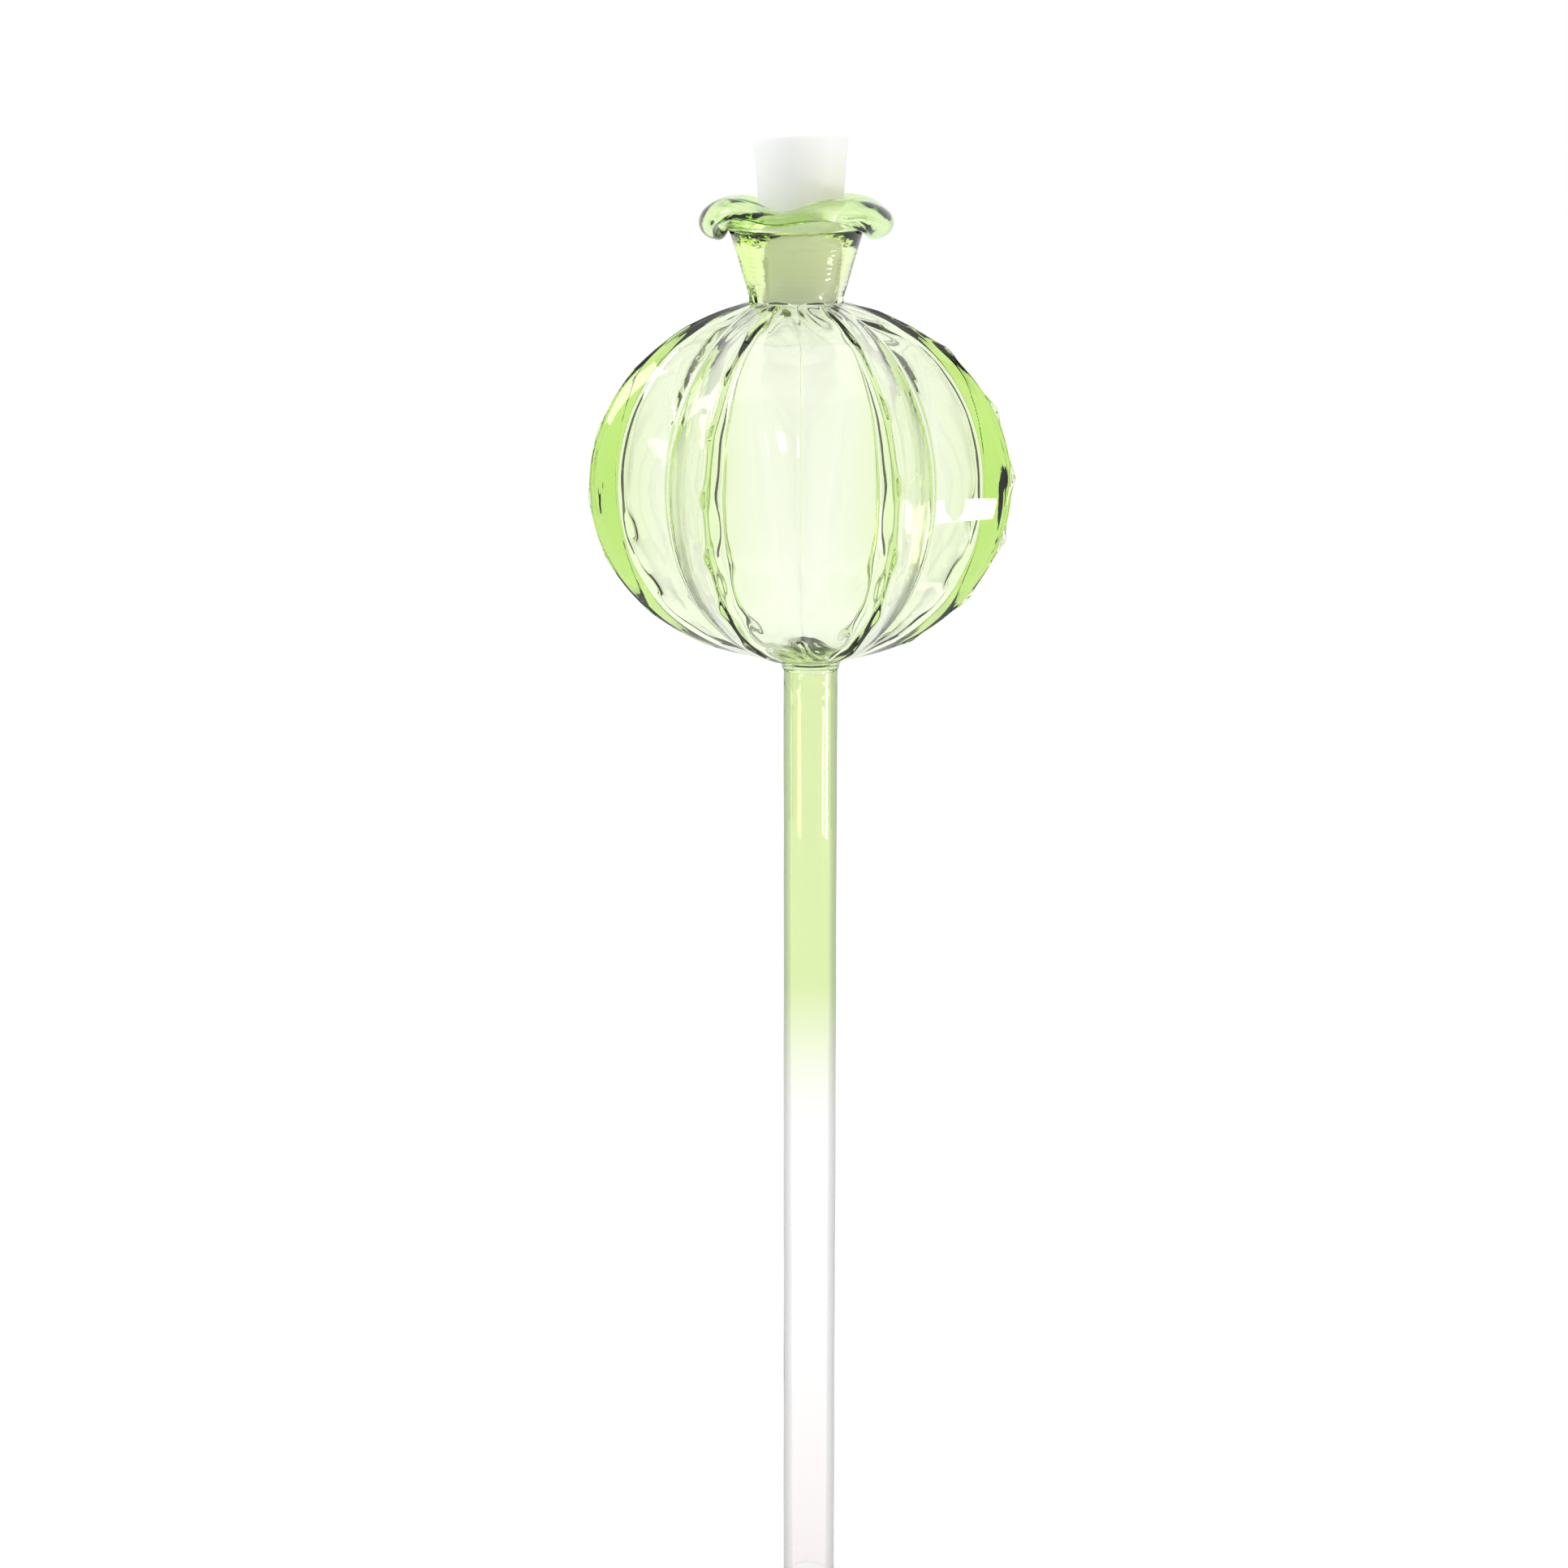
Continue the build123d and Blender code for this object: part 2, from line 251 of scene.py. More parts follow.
neck = {
    "waist": 1.0,
    "seatHeight": 3.0,
    "seatRadius": 6.12,
    "flarePower": 1.12,
    "borePower": 5,
    "crestArc": 16,  # about the globe's arc from crest to valley, against which its crests are rounded
    "ribDepth": 0.54,
    "ribRun": 3.4,  # how far the globe's ribs run up the neck, more or less by rib
    "runSpread": 0.2,
    "runSeed": 5.3,
    "runPower": 1.5,
    "swell": 0.12,  # how much fuller the neck is above the ribs' ends
    "rippleDepth": 0.025,
    "ripplePitch": 0.8,
    # what bends the ripples: size, waves round the neck and turn for each millimetre of height
    "rippleDrifts": [(1.5, 2, 0), (0.9, 3, 0.6), (0.8, 0, 0.9)],
    # pebbles on the left side
    "pebbleDepth": 0.03,
    "pebbleTurn": 1.25,
    "pebbleFrom": 0.35,
    "pebbleTo": 0.9,
    "pebblesAround": 23,
    "pebbleSwing": 1.7,
    "swingsAlong": 3.1,
    "pebblesAlong": 5.2,
    "pebbleBend": 2,
    "bendsAround": 9,
    "plainEnd": 1.5,
    "rows": 90,
}


def makeNeck(shape):
    # a straight waist, then a flare by a power of the height; the globe's ribs run out up its foot,
    # faint ripples run round it and its left side is pebbled
    angle, distance, rib = ribColumns(globe)
    top = lipZ - neckZ
    height = np.linspace(0, top, shape["rows"])[None, :]
    rise = np.clip((height - shape["waist"]) / (top - shape["waist"]), 0, 1)
    flare = (mouthRadius - rootRadius) * rise ** shape["flarePower"]
    wave = crestWave(distance, globe["crestPower"], globe["crestRound"] / shape["crestArc"])
    run = shape["ribRun"] * (1 + shape["runSpread"] * np.sin(shape["runSeed"] * rib[:, None]))
    runOut = np.clip(1 - height / run, 0, 1) ** shape["runPower"]
    ribs = shape["ribDepth"] * runOut * (1 - wave) - shape["swell"] * (1 - runOut)
    drifts = shape["rippleDrifts"]
    drift = sum(size * np.sin(around * angle + along * height) for size, around, along in drifts)
    ripple = shape["rippleDepth"] * (1 + np.sin(2 * math.pi * height / shape["ripplePitch"] + drift)) / 2
    onLeft = smoothStep(np.cos(angle + shape["pebbleTurn"]), shape["pebbleFrom"], shape["pebbleTo"])
    swung = shape["pebblesAround"] * angle + shape["pebbleSwing"] * np.sin(shape["swingsAlong"] * height)
    bent = shape["pebblesAlong"] * height + shape["pebbleBend"] * np.sin(shape["bendsAround"] * angle)
    pebble = shape["pebbleDepth"] * onLeft * (1 + np.sin(swung) * np.sin(bent)) / 2
    fade = smoothStep(height, 0, shape["plainEnd"]) * smoothStep(top - height, 0, shape["plainEnd"])
    outerRadius = rootRadius + flare - ribs * (1 - smoothStep(height, 0, top))
    outerRadius = outerRadius - (ripple + pebble) * fade
    # the bore keeps close to the plug and opens to the mouth by a high power of the height
    widening = (shape["seatRadius"] - throatRadius) / shape["seatHeight"]
    opening = mouthRadius - mouthGlass - throatRadius - widening * top
    innerRadius = throatRadius + widening * height + opening * (height / top) ** shape["borePower"]
    level = neckZ + np.clip(height, seam / 2, top - seam / 2)
    outer = ringPoints(outerRadius, angle, neckX, level)
    inner = ringPoints(innerRadius, angle, plugX, level)
    points = np.concatenate([outer, inner[:, ::-1]], axis=1)
    return skinMesh("flaredNeck", points, "vessel", "neck_funnel")


lip = {
    "rise": 1.83,
    "frontReach": 3.2,  # half the way out to where the fold would end
    "sideReach": 2.4,
    "frontEdge": 52,  # angle at which the fold ends: it still stands up here
    "sideEdge": -92,  # and rolls right under here
    "lobes": 4,
    "lobeHeight": 1.0,
    "lobeReach": 0.15,
    "frontDip": -11,
    "dipSharpness": 0.2,
    "underBulge": 0.6,
    "bulgePower": 1.6,
    "sideCalm": 0.5,  # how much weaker the lobes are at the sides
    "columns": 320,
    "foldRows": 56,
    "edgeRows": 12,
    "footRows": 9,
}


def makeLip(shape):
    # the middle of the glass follows part of an ellipse that ends sooner in front and at the back
    # than at the sides; the skin lies half the glass to either side, and a wave of four lobes
    # lifts it the more the further up it is
    half, rise = mouthGlass / 2, shape["rise"]
    startRadius = mouthRadius - half
    angle = evenAngles(shape["columns"])
    dip = math.radians(shape["frontDip"])
    side = np.sin(angle - dip) ** 2
    reach = shape["frontReach"] + (shape["sideReach"] - shape["frontReach"]) * side
    edge = np.radians(shape["frontEdge"] + (shape["sideEdge"] - shape["frontEdge"]) * side)
    turn = math.pi + (edge - math.pi) * np.linspace(0, 1, shape["foldRows"])[None, :]

    def skinAt(turn, offset):
        outR, outZ = np.cos(turn) / reach, np.sin(turn) / rise
        away = offset / np.hypot(outR, outZ)
        radius = startRadius + reach + reach * np.cos(turn) + away * outR
        return radius, rise + rise * np.sin(turn) + away * outZ

    facing = np.arctan2(np.sin(edge) / rise, np.cos(edge) / reach)
    facing = facing - math.pi * np.linspace(0, 1, shape["edgeRows"] + 2)[None, 1:-1]
    edgeR = startRadius + reach + reach * np.cos(edge) + half * np.cos(facing)
    edgeZ = rise + rise * np.sin(edge) + half * np.sin(facing)
    topR, topZ = skinAt(turn, half)
    underR, underZ = skinAt(turn[:, ::-1], -half)
    sink = np.linspace(0, 1, shape["footRows"] + 1)[None, 1:]
    footR = mouthRadius + shape["underBulge"] * np.sin(math.pi * sink ** shape["bulgePower"]) + 0 * angle
    footHeight = seam / 2 + (rise - seam / 2) * (1 - sink) + 0 * angle
    column = np.ones_like(angle)
    radius = np.concatenate([(mouthRadius - mouthGlass) * column, topR, edgeR, underR, footR], axis=1)
    height = np.concatenate([seam / 2 * column, topZ, edgeZ, underZ, footHeight], axis=1)
    climb = np.clip((math.pi - turn + rise / reach) / (math.pi / 2 + rise / reach), 0, 1)
    liftRows = np.sin(math.pi / 2 * climb) ** 2
    footLift = liftRows[:, :1] * (1 - sink) ** 2
    edgeLift = np.ones((angle.size, shape["edgeRows"]))
    lift = np.concatenate([0 * column, liftRows, edgeLift, liftRows[:, ::-1], footLift], axis=1)
    lean = shape["lobes"] * dip / math.cos(dip)
    phase = shape["lobes"] * angle - lean * np.cos(angle) + math.pi
    wave = np.cos(phase) - shape["dipSharpness"] * np.cos(2 * phase)
    wave = wave * (1 - shape["sideCalm"] * side ** 2)
    inside = np.arange(radius.shape[1])[None, :] <= shape["foldRows"] / 2
    centreX = neckX + (plugX - neckX) * (1 - lift) * inside
    radius = radius + shape["lobeReach"] * lift * wave
    points = ringPoints(radius, angle, centreX, lipZ + height + shape["lobeHeight"] * lift * wave)
    return skinMesh("ruffledLip", points, "vessel", "ruffled_lip")


weld = {
    "grooveDepth": 0.3,
    "grooveHeight": 0.35,
    "beadRadius": 4.75,
    "sharpAngle": 35,
    "columns": 192,
    "rows": 24,
}


def makeWeld(shape):
    # a groove at the weld, then a quarter-ellipse flare out to the foot of the globe
    angle = evenAngles(shape["columns"])
    height, groove = footZ - weldZ, shape["grooveHeight"]
    flare = np.linspace(0, 1, shape["rows"])
    spread = (footRadius - shape["beadRadius"]) * (1 - np.sqrt(1 - flare ** 2))
    radius = np.concatenate([[stemRadius, stemRadius - shape["grooveDepth"]], shape["beadRadius"] + spread])
    level = np.concatenate([[0, groove / 2], groove + (height - groove) * flare])
    level = weldZ + np.clip(level, seam / 2, height - seam / 2)[None, :]
    outer = ringPoints(radius[None, :], angle, 0, level)
    inner = ringPoints(np.full_like(level, boreRadius), angle, 0, level)
    points = np.concatenate([outer, inner[:, ::-1]], axis=1)
    return skinMesh("weldBead", points, "vessel", "weld_collar", shape["sharpAngle"])


stem = {
    "tipRound": 0.6,
    "tipRows": 9,
    "drawWave": 0.03,  # slow swelling left by drawing the tube
    "longWave": 11,
    "shortWave": 4.3,
    "waveBend": 2,
    "plainTip": 8,
    "swirlDepth": 0.12,  # a twist in the bore's wall under the weld
    "swirlStarts": 3,
    "swirlTwist": 1.4,
    "swirlFrom": 9,
    "swirlFull": 3,
    "columns": 160,
    "rows": 140,
}


def makeStem(shape):
    # a tube whose wall swells a little along its length, fire-polished round at the tip
    angle = evenAngles(shape["columns"])
    roundness = shape["tipRound"]
    level = np.linspace(roundness, weldZ - seam / 2, shape["rows"])[None, :]
    bent = level / shape["shortWave"] + shape["waveBend"] * np.sin(angle)
    swell = shape["drawWave"] * (np.sin(level / shape["longWave"]) + np.sin(bent)) / 2
    swell = swell * smoothStep(level, roundness, shape["plainTip"])
    outer = ringPoints(stemRadius - shape["drawWave"] + swell, angle, 0, level)
    swirl = shape["swirlDepth"] * np.sin(shape["swirlStarts"] * angle + level * shape["swirlTwist"])
    swirl = swirl * smoothStep(level, weldZ - shape["swirlFrom"], weldZ - shape["swirlFull"])
    inner = ringPoints(boreRadius + swell + swirl, angle, 0, level)
    bend = np.linspace(0, math.pi / 2, shape["tipRows"])[None, 1:]
    inset, drop = roundness * (1 - np.cos(bend)), roundness * (1 - np.sin(bend))
    outerTip = ringPoints(stemRadius - shape["drawWave"] - inset, angle, 0, drop)
    innerTip = ringPoints(boreRadius + inset, angle, 0, drop)
    points = np.concatenate([outerTip[:, ::-1], outer, inner[:, ::-1], innerTip], axis=1)
    return skinMesh("clearStem", points, "vessel", "stem_tube")


plug = {
    "edge": 0.5,
    "edgeRows": 8,
    "slope": 0.0665,
    "columns": 160,
    "rows": 40,
    "capRows": 10,
}


def makePlug(shape):
    # a cone frustum whose ends are rounded over; its caps run in to one point on the axis
    angle = evenAngles(shape["columns"])
    topRadius = (plugHigh[0] - plugLow[0]) / 2
    length, edge = plugHigh[2] - plugLow[2], shape["edge"]
    height = np.linspace(edge, length - edge, shape["rows"])
    bend = np.linspace(0, math.pi / 2, shape["edgeRows"])[1:]
    side = topRadius - shape["slope"] * (length - height)
    topEdge = side[-1] - edge * (1 - np.cos(bend)), height[-1] + edge * np.sin(bend)
    tipEdge = side[0] - edge * (1 - np.cos(bend)), height[0] - edge * np.sin(bend)
    inward = np.linspace(1, 0, shape["capRows"])[1:]
    radius = np.concatenate([tipEdge[0][::-1], side, topEdge[0], topEdge[0][-1] * inward])
    level = np.concatenate([tipEdge[1][::-1], height, topEdge[1], np.full(inward.size, length)])
    radius = np.concatenate([radius, tipEdge[0][-1] * inward[::-1]])[None, :]
    level = np.concatenate([level, np.zeros(inward.size)])[None, :]
    points = ringPoints(radius, angle, plugX, plugLow[2] + level)
    return skinMesh("siliconePlug", points, "stopper", "stopper")


pieces = {
    "stem": makeStem(stem),
    "weld": makeWeld(weld),
    "globe": makeGlobe(globe),
    "neck": makeNeck(neck),
    "lip": makeLip(lip),
    "plug": makePlug(plug),
}
print("pieces made:", ", ".join(pieces))


def nodeMaker(tree):
    # adds one shader node, sets its plain inputs by name and returns it
    def add(kind, inputs=None, **settings):
        node = tree.nodes.new(kind)
        for key, value in settings.items():
            setattr(node, key, value)
        for key, value in (inputs or {}).items():
            node.inputs[key].default_value = value
        return node
    return add


flow = {
    "drawnOut": 0.3,  # below 1 the streaks are longer up and down
    "streakScale": 130,
    "streakSwirl": 0.6,
    "tremorScale": 520,
    "tremorShare": 0.12,
    "seedScale": 160,
    "seedFrom": 0.05,
    "seedTo": 0.09,
    "seedShare": 0.1,
    "depth": 0.2,
}


def flowGroup(shape):
    # what glass keeps from being drawn and blown: long streaks, a fine tremor and a few seeds,
    # put out as a height and as a mask of streaks
    tree = bpy.data.node_groups.new("glassFlow", "ShaderNodeTree")
    for socket in ("Height", "Streaks"):
        tree.interface.new_socket(socket, in_out="OUTPUT", socket_type="NodeSocketFloat")
    add = nodeMaker(tree)
    place = add("ShaderNodeTexCoord")
    drawn = add("ShaderNodeMapping", {"Scale": (1, 1, shape["drawnOut"])})
    wave = {"Scale": shape["streakScale"], "Detail": 2, "Roughness": 0.4, "Distortion": shape["streakSwirl"]}
    streaks = add("ShaderNodeTexNoise", wave)
    tremor = add("ShaderNodeTexNoise", {"Scale": shape["tremorScale"], "Detail": 1})
    seeds = add("ShaderNodeTexVoronoi", {"Scale": shape["seedScale"], "Randomness": 1})
    span = {"From Min": shape["seedFrom"], "From Max": shape["seedTo"], "To Min": 1, "To Max": 0}
    seedDots = add("ShaderNodeMapRange", span)
    fine = add("ShaderNodeMath", {1: shape["tremorShare"]}, operation="MULTIPLY_ADD")
    total = add("ShaderNodeMath", {1: shape["seedShare"]}, operation="MULTIPLY_ADD")
    out = add("NodeGroupOutput")
    for start, end in (
        (place.outputs["Object"], drawn.inputs["Vector"]),
        (drawn.outputs[0], streaks.inputs["Vector"]),
        (place.outputs["Object"], tremor.inputs["Vector"]),
        (place.outputs["Object"], seeds.inputs["Vector"]),
        (seeds.outputs["Distance"], seedDots.inputs["Value"]),
        (tremor.outputs["Fac"], fine.inputs[0]),
        (streaks.outputs["Fac"], fine.inputs[2]),
        (seedDots.outputs[0], total.inputs[0]),
        (fine.outputs[0], total.inputs[2]),
        (total.outputs[0], out.inputs["Height"]),
        (streaks.outputs["Fac"], out.inputs["Streaks"]),
    ):
        tree.links.new(start, end)
    return tree


def addSpan(add, start, end):
    # 0 at one place and 1 at another along an axis, both in millimetres
    return add("ShaderNodeMapRange", {"From Min": start * millimetre, "From Max": end * millimetre})


def mixColours(add, tree, share, first, second):
    # each colour is a plain one or another node's output; the colour sockets share one name,
    # so they are counted
    mix = add("ShaderNodeMix", data_type="RGBA")
    for slot, value in ((6, first), (7, second)):
        if isinstance(value, tuple):
            mix.inputs[slot].default_value = (*value, 1)
        else:
            tree.links.new(value, mix.inputs[slot])
    tree.links.new(share, mix.inputs[0])
    return mix.outputs[2]


def glassMaterial(name, finish):
    material = bpy.data.materials.new(name)
    material.use_nodes = True
    tree = material.node_tree
    add = nodeMaker(tree)
    shader = tree.nodes["Principled BSDF"]
    shader.inputs["Roughness"].default_value = 0.0
    shader.inputs["IOR"].default_value = finish["bend"]
    shader.inputs["Transmission Weight"].default_value = 1.0
    drawn = add("ShaderNodeGroup", node_tree=glassFlow)
    bump = add("ShaderNodeBump", {"Strength": finish["bump"], "Distance": flow["depth"] * millimetre})
    tree.links.new(drawn.outputs["Height"], bump.inputs["Height"])
    tree.links.new(bump.outputs["Normal"], shader.inputs["Normal"])
    colour = mixColours(add, tree, drawn.outputs["Streaks"], finish["streak"], finish["body"])
    depth = add("ShaderNodeVolumeAbsorption", {"Color": (*finish["tint"], 1), "Density": finish["density"]})
    # edge is the colour of the painted shade where the glass turns away from the eye
    paintedShadeColour = finish["edge"]
    if "fadeFrom" in finish:
        # green runs out down the tube, and the clear end turns a little darker and rosy towards the tip
        place = add("ShaderNodeTexCoord")
        axes = add("ShaderNodeSeparateXYZ")
        climb = addSpan(add, finish["fadeFrom"], finish["fadeTo"])
        green = add("ShaderNodeMath", {1: finish["fadePower"]}, operation="POWER")
        dense = add("ShaderNodeMath", {1: finish["density"]}, operation="MULTIPLY")
        tip = addSpan(add, finish["rosyFrom"], 0)
        tree.links.new(place.outputs["Object"], axes.inputs[0])
        tree.links.new(axes.outputs["Z"], climb.inputs["Value"])
        tree.links.new(axes.outputs["Z"], tip.inputs["Value"])
        tree.links.new(climb.outputs[0], green.inputs[0])
        tree.links.new(green.outputs[0], dense.inputs[0])
        tree.links.new(dense.outputs[0], depth.inputs["Density"])
        clear = mixColours(add, tree, tip.outputs[0], finish["clear"], finish["rosy"])
        colour = mixColours(add, tree, green.outputs[0], clear, colour)
        # the painted shade at the tube's sides turns from green to grey where the green runs out
        paintedShadeColour = mixColours(add, tree, green.outputs[0], finish["clearPaintedShade"], finish["edge"])
    # painted shade: the colour darkens where the skin turns away from the eye, by a power of how far it has
    # turned
    weight = add("ShaderNodeLayerWeight", {"Blend": 0.5})
    turned = add("ShaderNodeMapRange", {"From Min": finish["paintedShadeFrom"], "From Max": 1})
    edge = add("ShaderNodeMath", {1: finish["paintedShadePower"]}, operation="POWER")
    tree.links.new(weight.outputs["Facing"], turned.inputs["Value"])
    tree.links.new(turned.outputs[0], edge.inputs[0])
    paintedShadeShare = edge.outputs[0]
    if "paintedShadeBeyond" in finish:
        # the bore's wall keeps clear: only the skin farther than this from the stem's axis gets the painted
        # shade
        centre = add("ShaderNodeTexCoord")
        level = add("ShaderNodeMapping", {"Scale": (1, 1, 0)})
        away = add("ShaderNodeVectorMath", operation="LENGTH")
        beyond = add("ShaderNodeMath", {1: finish["paintedShadeBeyond"] * millimetre}, operation="GREATER_THAN")
        kept = add("ShaderNodeMath", operation="MULTIPLY")
        tree.links.new(centre.outputs["Object"], level.inputs["Vector"])
        tree.links.new(level.outputs[0], away.inputs[0])
        tree.links.new(away.outputs["Value"], beyond.inputs[0])
        tree.links.new(beyond.outputs[0], kept.inputs[0])
        tree.links.new(paintedShadeShare, kept.inputs[1])
        paintedShadeShare = kept.outputs[0]
    colour = mixColours(add, tree, paintedShadeShare, colour, paintedShadeColour)
    tree.links.new(colour, shader.inputs["Base Color"])
    tree.links.new(depth.outputs["Volume"], tree.nodes["Material Output"].inputs["Volume"])
    return material


# tint is what glass lets through, density how fast it colours with each metre of it, streak and body
# tint its skin, and edge is a painted shade that darkens it where it turns away from the eye
finishes = {
    "globe": {
        "bend": 1.47, "tint": (0.66, 0.9, 0.08), "density": 52, "bump": 0.3,
        "streak": (0.998, 1.0, 0.985), "body": (1.0, 1.0, 0.997),
        "edge": (0.03, 0.1, 0.01), "paintedShadeFrom": 0.7, "paintedShadePower": 1.2,
    },
    "neck": {
        "bend": 1.49, "tint": (0.8, 1.0, 0.06), "density": 95, "bump": 0.4,
        "streak": (0.985, 0.998, 0.95), "body": (1.0, 1.0, 0.985),
        "edge": (0.24, 0.5, 0.12), "paintedShadeFrom": 0.55, "paintedShadePower": 2,
    },
    "lip": {
        "bend": 1.47, "tint": (0.64, 0.94, 0.06), "density": 140, "bump": 0.4,
        "streak": (0.985, 0.998, 0.95), "body": (1.0, 1.0, 0.985),
        "edge": (0.24, 0.5, 0.12), "paintedShadeFrom": 0.55, "paintedShadePower": 2,
    },
    "stem": {
        "bend": 1.49, "tint": (0.64, 0.86, 0.06), "density": 165, "bump": 0.3,
        "streak": (0.9, 0.945, 0.77), "body": (0.93, 0.965, 0.82),
        # the two edge colours are painted shade for the tube's sides, green where it is green and grey where
        # it is clear
        "edge": (0.0, 0.02, 0.0), "clearPaintedShade": (0.12, 0.12, 0.12), "paintedShadeFrom": 0.32, "paintedShadePower": 0.4,
        "paintedShadeBeyond": 3.9,
        "fadeFrom": 82, "fadeTo": 109, "fadePower": 1.7,
        "clear": (0.992, 0.99, 0.988), "rosy": (0.95, 0.925, 0.92), "rosyFrom": 45,
    },
}
glassFlow = flowGroup(flow)
globeGlass = glassMaterial("globeGlass", finishes["globe"])
neckGlass = glassMaterial("neckGlass", finishes["neck"])
lipGlass = glassMaterial("lipGlass", finishes["lip"])
stemGlass = glassMaterial("stemGlass", finishes["stem"])


siliconeFinish = {
    # the cool and warm colours are painted light on the plain white of the silicone
    "paintedCool": (0.93, 0.955, 0.96),
    "plain": (0.92, 0.935, 0.9),
    "paintedWarm": (0.93, 0.895, 0.76),
    "roughness": 0.45,
    "sheenSpread": 0.06,
    "cloudScale": 220,
    "grainScale": 2600,
    "grainStrength": 0.15,
    "grainDepth": 0.05,
    "paintedWarmFrom": 2,  # how far left of the axis the painted warm light starts
    "paintedWarmDepth": 9,  # how far below the top the painted warm light is strongest
    "scatter": 0.6,
    "reach": 9,  # how far light spreads inside
}


def siliconeMaterial(finish):
    # milky silicone with a moulded grain; its colour holds painted light, cooler on its lit left and warmer
    # low on its right
    material = bpy.data.materials.new("whiteSilicone")
    material.use_nodes = True
    tree = material.node_tree
    add = nodeMaker(tree)
    shader = tree.nodes["Principled BSDF"]
    place = add("ShaderNodeTexCoord")
    axes = add("ShaderNodeSeparateXYZ")
    left = addSpan(add, plugX, plugLow[0])
    right = addSpan(add, plugX - finish["paintedWarmFrom"], plugHigh[0])
    low = addSpan(add, plugHigh[2], plugHigh[2] - finish["paintedWarmDepth"])
    corner = add("ShaderNodeMath", operation="MULTIPLY")
    clouds = add("ShaderNodeTexNoise", {"Scale": finish["cloudScale"], "Detail": 2})
    grain = add("ShaderNodeTexNoise", {"Scale": finish["grainScale"], "Detail": 2})
    dull, spread = finish["roughness"], finish["sheenSpread"]
    sheen = add("ShaderNodeMapRange", {"To Min": dull - spread, "To Max": dull + spread})
    depth = finish["grainDepth"] * millimetre
    bump = add("ShaderNodeBump", {"Strength": finish["grainStrength"], "Distance": depth})
    for start, end in (
        (place.outputs["Object"], axes.inputs[0]),
        (place.outputs["Object"], clouds.inputs["Vector"]),
        (place.outputs["Object"], grain.inputs["Vector"]),
        (axes.outputs["X"], left.inputs["Value"]),
        (axes.outputs["X"], right.inputs["Value"]),
        (axes.outputs["Z"], low.inputs["Value"]),
        (right.outputs[0], corner.inputs[0]),
        (low.outputs[0], corner.inputs[1]),
        (clouds.outputs["Fac"], sheen.inputs["Value"]),
        (sheen.outputs[0], shader.inputs["Roughness"]),
        (grain.outputs["Fac"], bump.inputs["Height"]),
        (bump.outputs[0], shader.inputs["Normal"]),
    ):
        tree.links.new(start, end)
    # painted light: a cool lit left, then a warm lower right, over the plain white
    paintedCoolColour = mixColours(add, tree, left.outputs[0], finish["plain"], finish["paintedCool"])
    paintedLightColour = mixColours(add, tree, corner.outputs[0], paintedCoolColour, finish["paintedWarm"])
    tree.links.new(paintedLightColour, shader.inputs["Base Color"])
    shader.inputs["Subsurface Weight"].default_value = finish["scatter"]
    shader.inputs["Subsurface Radius"].default_value = (1, 1, 1)
    shader.inputs["Subsurface Scale"].default_value = finish["reach"] * millimetre
    return material


silicone = siliconeMaterial(siliconeFinish)
for key, material in {
    "stem": stemGlass,
    "weld": lipGlass,
    "globe": globeGlass,
    "neck": neckGlass,
    "lip": lipGlass,
    "plug": silicone,
}.items():
    pieces[key].data.materials.append(material)
print("finishes given")


def seenThrough(add, tree, path):
    # 1 for rays that glass or gloss sends on, else 0
    either = add("ShaderNodeMath", operation="MAXIMUM")
    tree.links.new(path.outputs["Is Glossy Ray"], either.inputs[0])
    tree.links.new(path.outputs["Is Transmission Ray"], either.inputs[1])
    return either.outputs[0]


def seenDirectly(tree):
    # 1 for those rays and for rays from the camera, else 0
    add = nodeMaker(tree)
    path = add("ShaderNodeLightPath")
    either = add("ShaderNodeMath", operation="MAXIMUM")
    tree.links.new(path.outputs["Is Camera Ray"], either.inputs[0])
    tree.links.new(seenThrough(add, tree, path), either.inputs[1])
    return either.outputs[0]


studio = {
    "fill": 0.78,  # how strongly the surround lights dull surfaces
    "floorRadius": 4000,
    "floorSides": 96,
    "floorPaint": 0.8,  # as it lights the object
    "floorGrey": 0.18,  # as it is seen: a grey that keeps the shadow, and a glow that makes up white
    "floorGlow": 0.86,
}


def makeSurround(shape):
    world = bpy.data.worlds.new("paleSurround")
    bpy.context.scene.world = world
    world.use_nodes = True
    tree = world.node_tree
    add = nodeMaker(tree)
    level = add("ShaderNodeMapRange", {"To Min": shape["fill"], "To Max": 1.0})
    tree.links.new(seenDirectly(tree), level.inputs["Value"])
    background = tree.nodes["Background"]
    background.inputs["Color"].default_value = (1, 1, 1, 1)
    tree.links.new(level.outputs["Result"], background.inputs["Strength"])


def greyColour(level):
    return (level, level, level, 1)


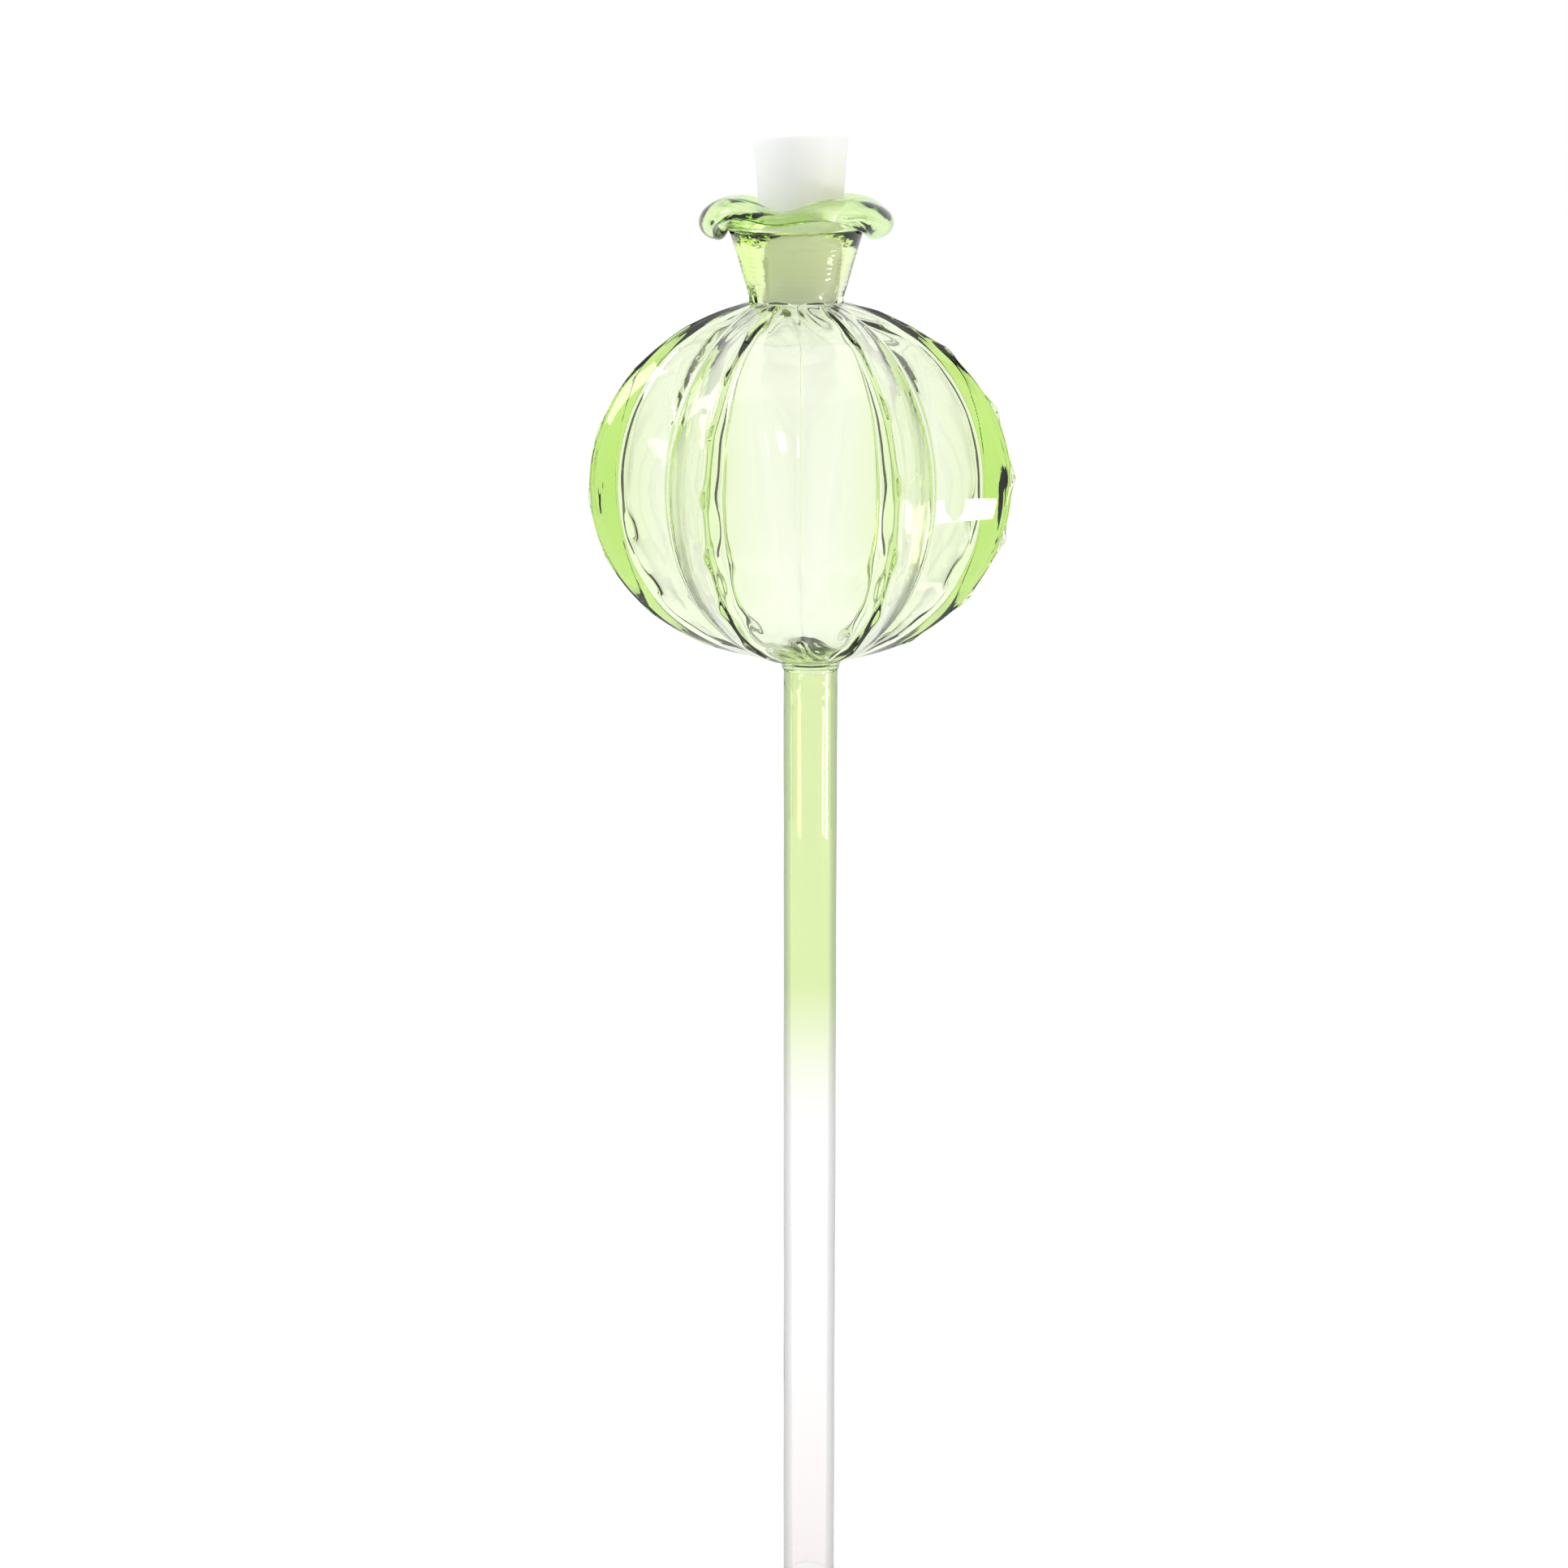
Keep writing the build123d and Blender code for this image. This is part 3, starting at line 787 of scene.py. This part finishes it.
def makeFloor(shape):
    # a plain disc under the stem's tip; what the camera sees of it is lifted to white but for shadows
    points = ringPoints(shape["floorRadius"], evenAngles(shape["floorSides"]), 0, 0)[:, 0] * millimetre
    mesh = bpy.data.meshes.new("paleFloor")
    mesh.from_pydata(points.tolist(), [], [list(range(len(points)))])
    floor = bpy.data.objects.new("paleFloor", mesh)
    bpy.context.scene.collection.objects.link(floor)
    material = bpy.data.materials.new("palePaint")
    material.use_nodes = True
    tree = material.node_tree
    tree.nodes.remove(tree.nodes["Principled BSDF"])
    add = nodeMaker(tree)
    plain = add("ShaderNodeBsdfDiffuse", {"Color": greyColour(shape["floorPaint"])})
    grey = add("ShaderNodeBsdfDiffuse", {"Color": greyColour(shape["floorGrey"])})
    glow = add("ShaderNodeEmission", {"Color": (1, 1, 1, 1), "Strength": shape["floorGlow"]})
    lifted = add("ShaderNodeAddShader")
    chosen = add("ShaderNodeMixShader")
    tree.links.new(grey.outputs[0], lifted.inputs[0])
    tree.links.new(glow.outputs[0], lifted.inputs[1])
    tree.links.new(seenDirectly(tree), chosen.inputs["Fac"])
    tree.links.new(plain.outputs[0], chosen.inputs[1])
    tree.links.new(lifted.outputs[0], chosen.inputs[2])
    tree.links.new(chosen.outputs[0], tree.nodes["Material Output"].inputs["Surface"])
    mesh.materials.append(material)


flags = {
    "azimuths": {"leftFlag": -103, "rightFlag": 103},
    "near": 550,
    "far": 1200,
    "width": 330,  # at its far end; it narrows towards the object
    "aboveFloor": 1,
    "height": 1600,
    "grey": 0.1,
    "roughness": 0.9,
}


def flagMaterial(shape):
    # dark cloth that shows only in gloss and through glass, and lets all other light through
    material = bpy.data.materials.new("flagCloth")
    material.use_nodes = True
    tree = material.node_tree
    add = nodeMaker(tree)
    shader = tree.nodes["Principled BSDF"]
    shader.inputs["Base Color"].default_value = greyColour(shape["grey"])
    shader.inputs["Roughness"].default_value = shape["roughness"]
    unseen = add("ShaderNodeBsdfTransparent")
    chosen = add("ShaderNodeMixShader")
    tree.links.new(seenThrough(add, tree, add("ShaderNodeLightPath")), chosen.inputs["Fac"])
    tree.links.new(unseen.outputs[0], chosen.inputs[1])
    tree.links.new(shader.outputs[0], chosen.inputs[2])
    tree.links.new(chosen.outputs[0], tree.nodes["Material Output"].inputs["Surface"])
    return material


def makeFlags(shape):
    # dark cloths at both sides that draw the edges of the glass: each lies on the floor from near to
    # far and then hangs straight up; its points are three rows of a left and a right one
    cloth = flagMaterial(shape)
    away = np.array([shape["near"], shape["far"], shape["far"]])[:, None]
    aside = away / shape["far"] * shape["width"] / 2 * np.array([-1, 1])[None, :]
    level = np.array([shape["aboveFloor"], shape["aboveFloor"], shape["height"]])[:, None]
    for name, degrees in shape["azimuths"].items():
        azimuth = math.radians(degrees)
        x = away * math.sin(azimuth) + aside * math.cos(azimuth)
        y = aside * math.sin(azimuth) - away * math.cos(azimuth)
        points = np.stack(np.broadcast_arrays(x, y, level), axis=-1).reshape(-1, 3)
        mesh = bpy.data.meshes.new(name)
        mesh.from_pydata((points * millimetre).tolist(), [], [[0, 1, 3, 2], [2, 3, 5, 4]])
        mesh.materials.append(cloth)
        flag = bpy.data.objects.new(name, mesh)
        bpy.context.scene.collection.objects.link(flag)


lamps = {
    "leftBox": {"azimuth": -98, "elevation": 34, "distance": 900, "width": 240, "height": 420, "power": 2.6},
    "rightBox": {"azimuth": 74, "elevation": -16, "distance": 560, "width": 130, "height": 110, "power": 0.8},
    "topBox": {"azimuth": 20, "elevation": 75, "distance": 1000, "width": 1200, "height": 900, "power": 2.1},
}


def makeLamps(shapes):
    # soft boxes that stand round the globe and face it
    aim = np.array([0, 0, (footZ + neckZ) / 2]) * millimetre
    for name, shape in shapes.items():
        azimuth, elevation = math.radians(shape["azimuth"]), math.radians(shape["elevation"])
        away = np.array([
            math.sin(azimuth) * math.cos(elevation),
            -math.cos(azimuth) * math.cos(elevation),
            math.sin(elevation),
        ])
        light = bpy.data.lights.new(name, "AREA")
        light.shape = "RECTANGLE"
        light.size, light.size_y = shape["width"] * millimetre, shape["height"] * millimetre
        light.energy = shape["power"]
        lamp = bpy.data.objects.new(name, light)
        bpy.context.scene.collection.objects.link(lamp)
        lamp.location = aim + away * shape["distance"] * millimetre
        lamp.rotation_euler = (math.pi / 2 - elevation, 0, azimuth)


camera = {
    "x": -4.4,
    "distance": 500,
    "height": 260,
    "pitchDown": 13.1,
    "focalPixels": 3780,
    "imagePixels": 1932,
    "sensor": 36,
    "nearest": 10,
}


def makeCamera(shape):
    data = bpy.data.cameras.new("camera")
    data.sensor_width = shape["sensor"]
    data.lens = shape["focalPixels"] / shape["imagePixels"] * shape["sensor"]
    data.clip_start = shape["nearest"] * millimetre
    viewer = bpy.data.objects.new("camera", data)
    bpy.context.scene.collection.objects.link(viewer)
    viewer.location = np.array([shape["x"], -shape["distance"], shape["height"]]) * millimetre
    viewer.rotation_euler = (math.radians(90 - shape["pitchDown"]), 0, 0)
    bpy.context.scene.camera = viewer


makeSurround(studio)
makeFloor(studio)
makeFlags(flags)
makeLamps(lamps)
makeCamera(camera)
bpy.context.scene.view_settings.view_transform = "Standard"
print("studio ready")
